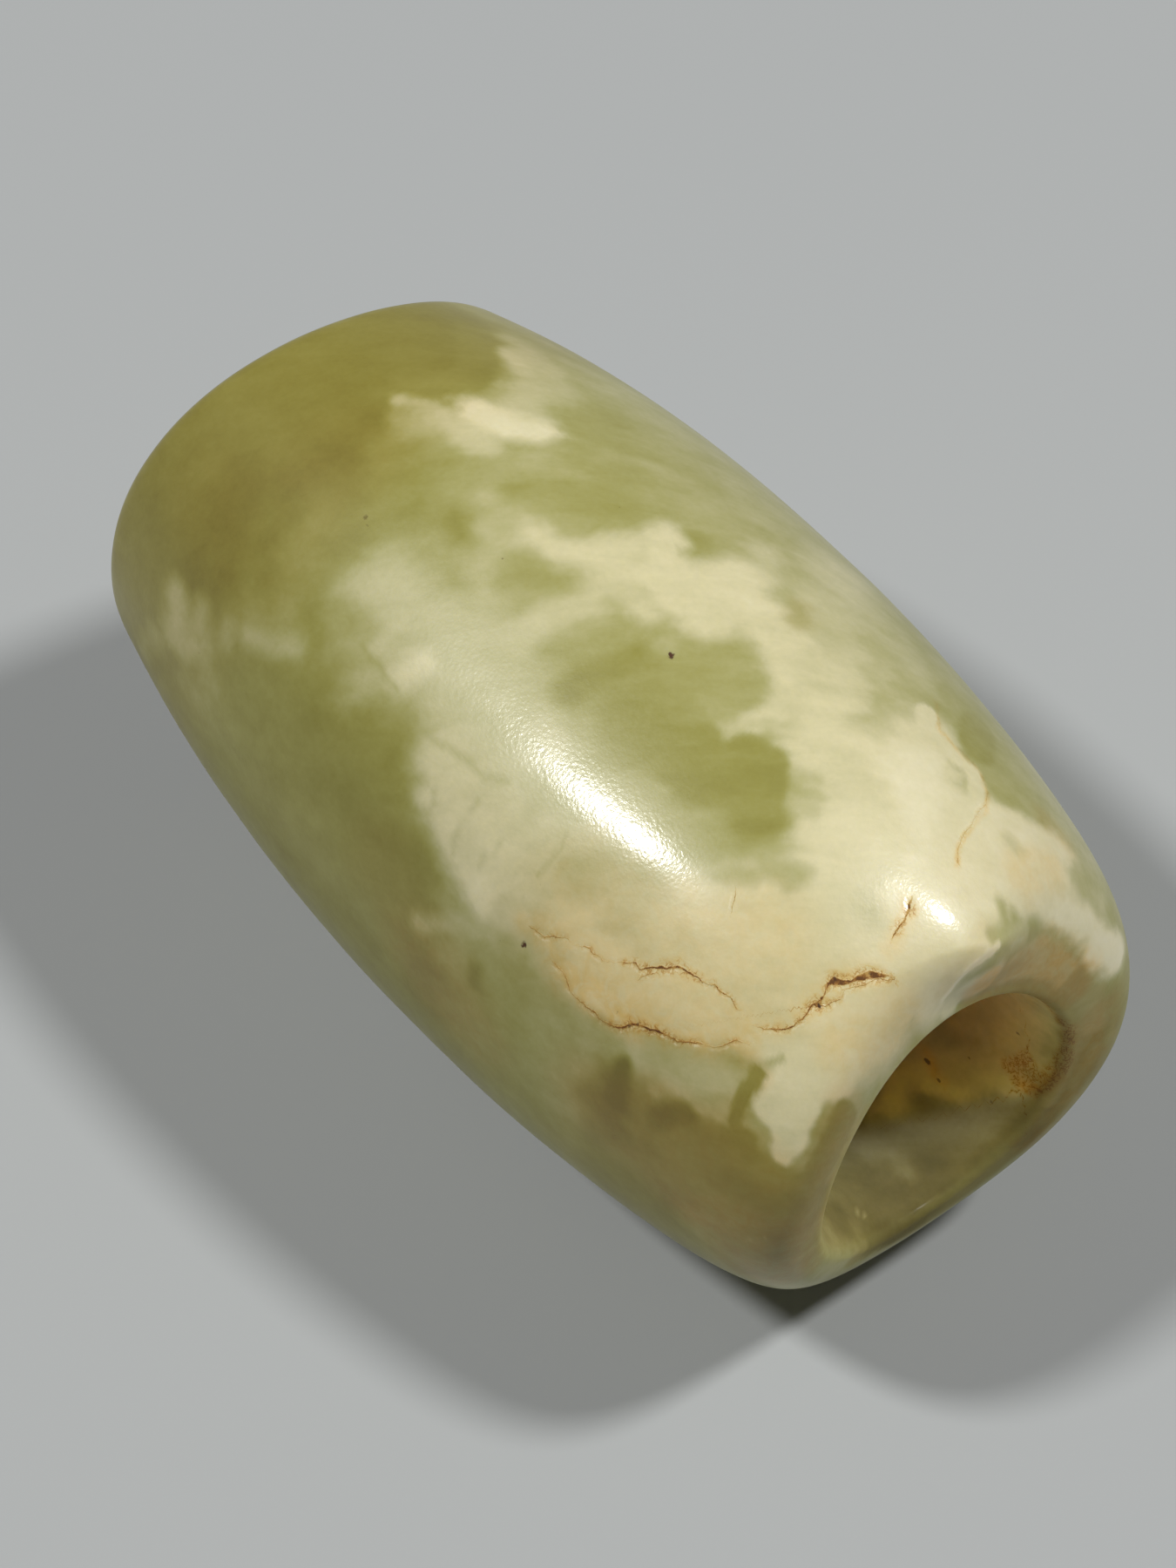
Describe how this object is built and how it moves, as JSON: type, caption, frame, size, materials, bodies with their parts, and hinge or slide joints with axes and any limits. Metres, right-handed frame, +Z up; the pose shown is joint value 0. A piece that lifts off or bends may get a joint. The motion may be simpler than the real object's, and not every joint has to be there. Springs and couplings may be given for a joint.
{
  "type": "jade tube bead",
  "caption": "Barrel-shaped tube of pale green and cream jade with a wide tapered hole along its length, worn on a cord.",
  "frame": {"origin": "on the surface that the bead lies on, under the middle of its belly", "axes": "+X along the hole towards the near end, +Y across, +Z up"},
  "size_m": [0.0431, 0.026, 0.0258],
  "materials": {
    "pale_jade": "polished"
  },
  "bodies": {
    "root": {"jade_tube": "pale_jade"}
  },
  "joints": []
}
